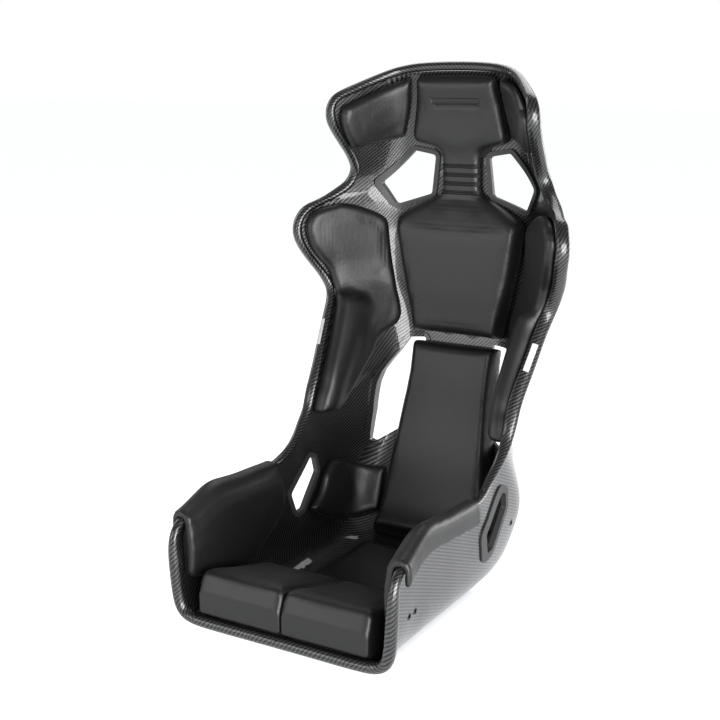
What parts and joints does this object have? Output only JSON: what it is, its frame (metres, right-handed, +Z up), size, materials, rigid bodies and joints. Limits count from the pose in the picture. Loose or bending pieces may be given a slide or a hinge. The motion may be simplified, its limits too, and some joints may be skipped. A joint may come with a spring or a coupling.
{
  "type": "racing seat",
  "caption": "Fixed-back racing seat: moulded carbon shell with rolled rim, foam pads, harness openings and side mounting inserts.",
  "frame": {"origin": "on the underside of the seat pan, on the seat centre line, about midway between the front and rear side mounts", "axes": "+Z up, +X across the seat (the seat faces -Y, so +X is on the left of a seated person), +Y toward the backrest"},
  "size_m": [0.5738, 0.6736, 0.9544],
  "materials": {
    "carbon": "glossy clear-coated twill weave carbon fibre",
    "pad_fabric": "fine matt charcoal fabric over moulded foam",
    "trim": "dark grey matt moulded plastic",
    "insert_metal": "dark anodised",
    "tape": "black hook-and-loop tape",
    "label": "plain pale band with no mark"
  },
  "bodies": {
    "root": {"back_pad": "pad_fabric", "carbon_shell": "carbon", "crotch_belt_trim": "trim", "head_wing_pad_left": "pad_fabric", "head_wing_pad_right": "pad_fabric", "hip_pad_left": "pad_fabric", "hip_pad_right": "pad_fabric", "lap_belt_trim_left": "trim", "lap_belt_trim_right": "trim", "lumbar_opening_bead_left": "carbon", "lumbar_opening_bead_right": "carbon", "lumbar_pad": "pad_fabric", "pad_fastening_tapes": "tape", "rim_label_left": "label", "rim_label_right": "label", "rolled_rim": "carbon", "seat_base_pad": "pad_fabric", "shoulder_belt_trim_left": "trim", "shoulder_belt_trim_right": "trim", "shoulder_pad_left": "pad_fabric", "shoulder_pad_right": "pad_fabric", "side_mount_inserts": "insert_metal", "thigh_bolster_left": "pad_fabric", "thigh_bolster_right": "pad_fabric", "thigh_cushion_left": "pad_fabric", "thigh_cushion_right": "pad_fabric"}
  },
  "joints": []
}
